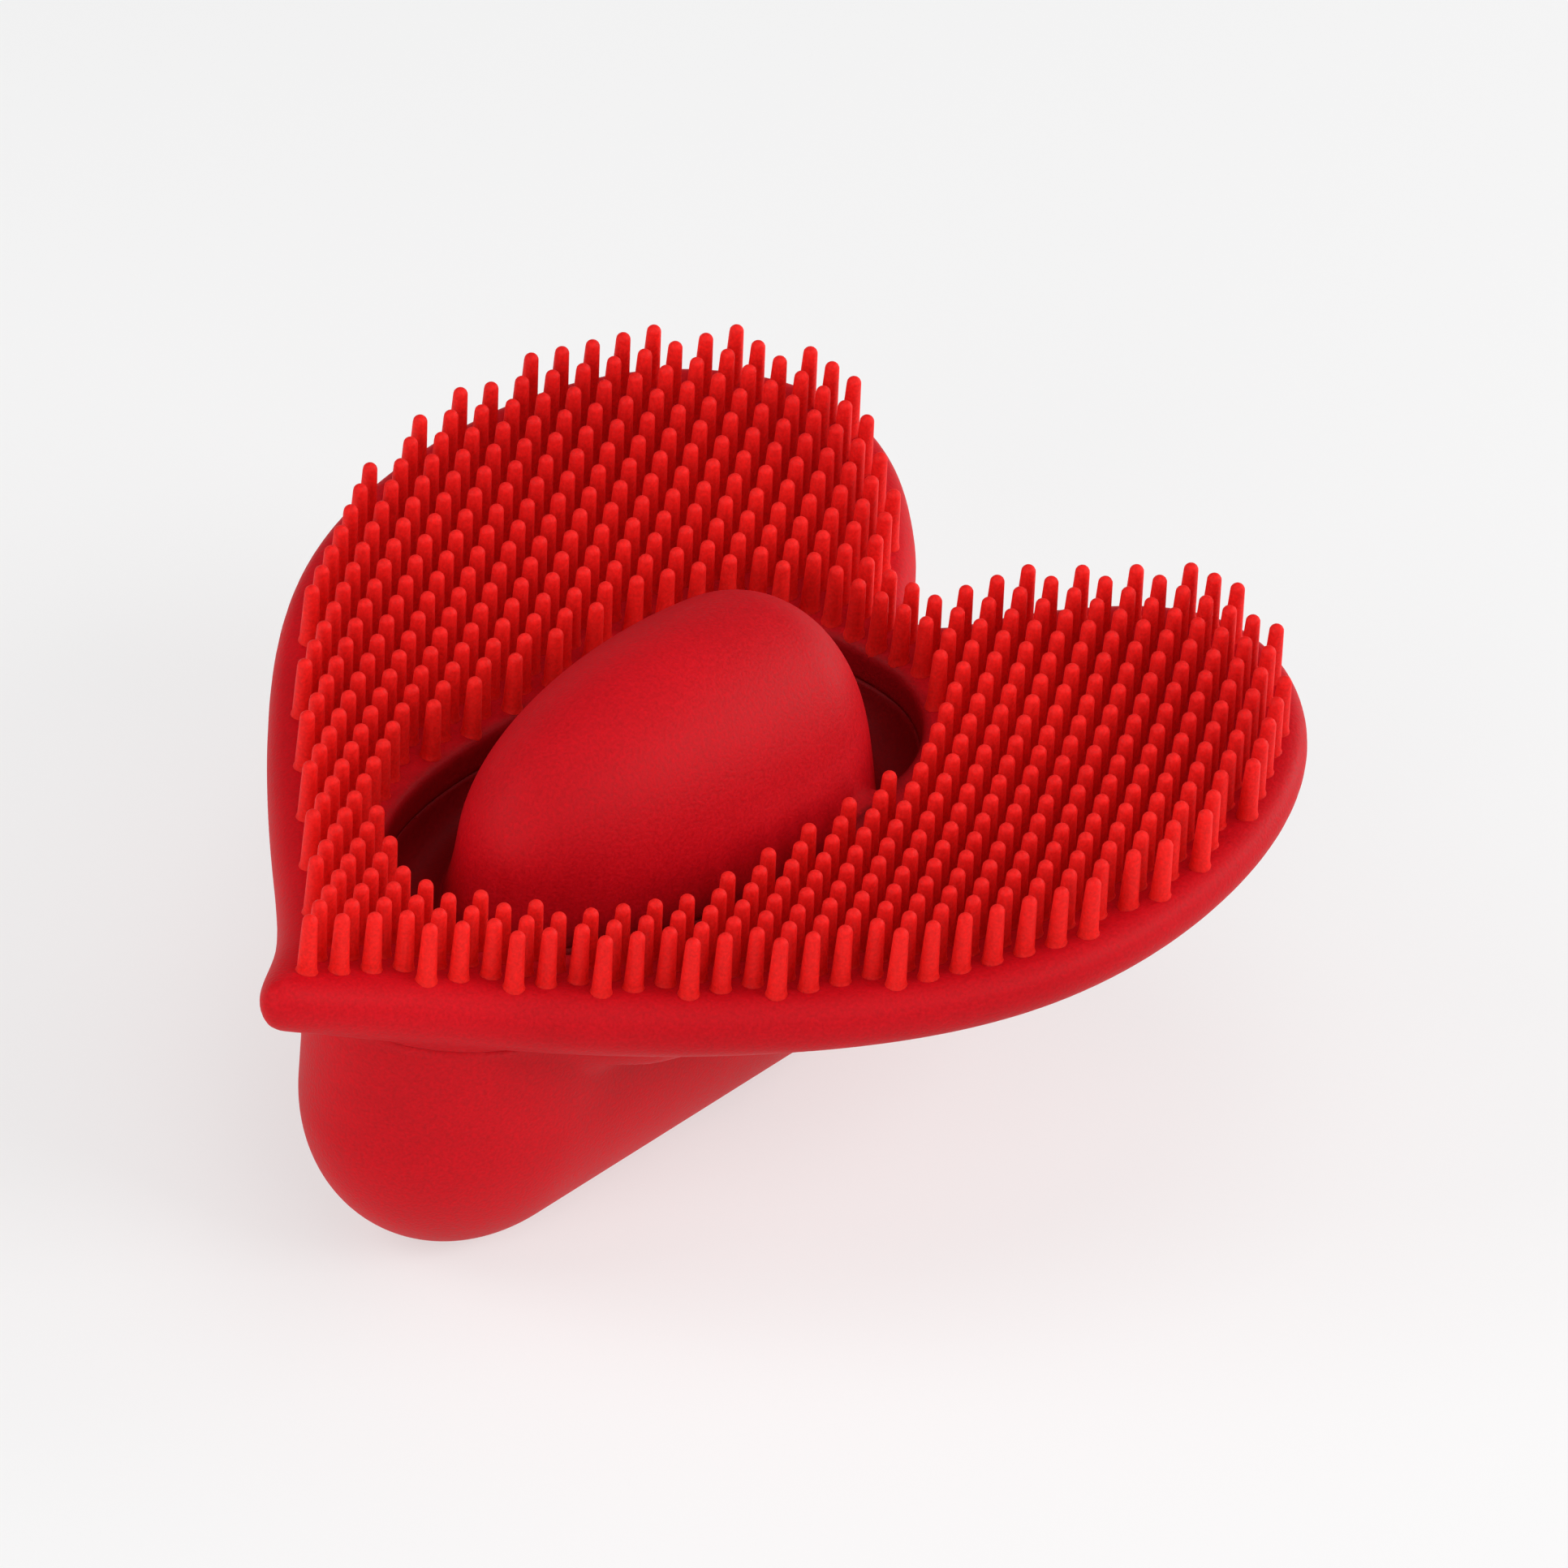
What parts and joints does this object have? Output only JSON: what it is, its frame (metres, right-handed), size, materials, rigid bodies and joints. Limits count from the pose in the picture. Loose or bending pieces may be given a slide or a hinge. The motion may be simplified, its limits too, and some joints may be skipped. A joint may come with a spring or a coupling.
{
  "type": "rubber curry brush",
  "caption": "Heart-shaped silicone curry brush: a dished pad full of round-tipped bristles, a raised egg in a central basin and a grip bar underneath.",
  "frame": {"origin": "on the flat under the grip that the brush rests on, under the middle of the overall box", "axes": "+Z along the bristles, +Y to the two lobes and -Y to the point of the heart, X across the heart, which is symmetric about X = 0"},
  "size_m": [0.1048, 0.1142, 0.0542],
  "materials": {
    "silicone_face": "matte red silicone, satin skin",
    "silicone_bristle": "matte red silicone, slightly translucent at the tips",
    "silicone_back": "matte red silicone, satin skin",
    "core_plastic": "fine moulded texture",
    "steel": "zinc plated"
  },
  "bodies": {
    "root": {"front_skin": "silicone_face", "bristles_left_lobe": "silicone_bristle", "bristles_right_lobe": "silicone_bristle", "bristles_left_flank": "silicone_bristle", "bristles_right_flank": "silicone_bristle", "bristles_centre_line": "silicone_bristle", "rear_skin": "silicone_back", "core_plate": "core_plastic", "bulb_former": "core_plastic", "grip_core_left": "core_plastic", "grip_core_right": "core_plastic", "former_screws": "steel", "grip_screws": "steel", "grip_dowels": "steel"}
  },
  "joints": []
}
